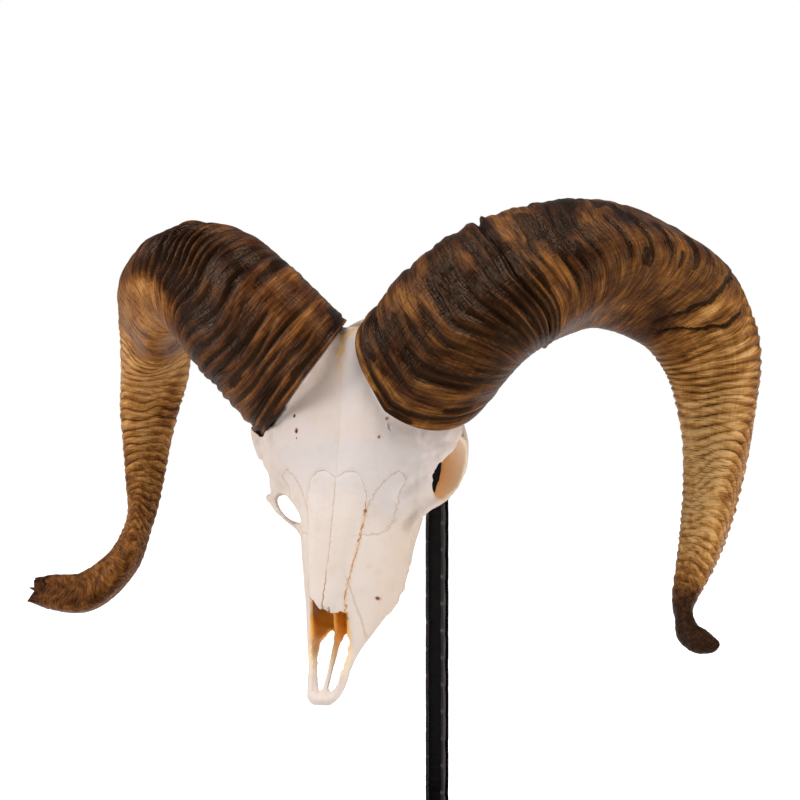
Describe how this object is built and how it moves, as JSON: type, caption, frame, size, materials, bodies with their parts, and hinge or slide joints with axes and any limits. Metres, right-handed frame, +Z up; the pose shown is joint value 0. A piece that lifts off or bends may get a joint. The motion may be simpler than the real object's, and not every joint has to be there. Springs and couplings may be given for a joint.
{
  "type": "bighorn sheep skull",
  "caption": "Bleached ram skull without its lower jaw, with curled horn sheaths, held nose down on a square steel post with a flat base plate.",
  "frame": {"origin": "centre of the base plate's underside, on the surface it rests on", "axes": "+Z up, the skull faces -Y with its midline in X = 0, +X is the animal's left"},
  "size_m": [0.5278, 0.3131, 0.4982],
  "materials": {
    "bone": "bleached bone, dry and matte",
    "horn": "weathered ridged horn with a low sheen",
    "enamel": "worn tooth enamel",
    "steel": "black forged steel"
  },
  "bodies": {
    "root": {"skull": "bone", "horn_left": "horn", "horn_right": "horn", "tooth_left_1": "enamel", "tooth_left_2": "enamel", "tooth_left_3": "enamel", "tooth_left_4": "enamel", "tooth_left_5": "enamel", "tooth_left_6": "enamel", "tooth_right_1": "enamel", "tooth_right_2": "enamel", "tooth_right_3": "enamel", "tooth_right_4": "enamel", "tooth_right_5": "enamel", "tooth_right_6": "enamel", "stand_post": "steel", "stand_base": "steel"}
  },
  "joints": []
}
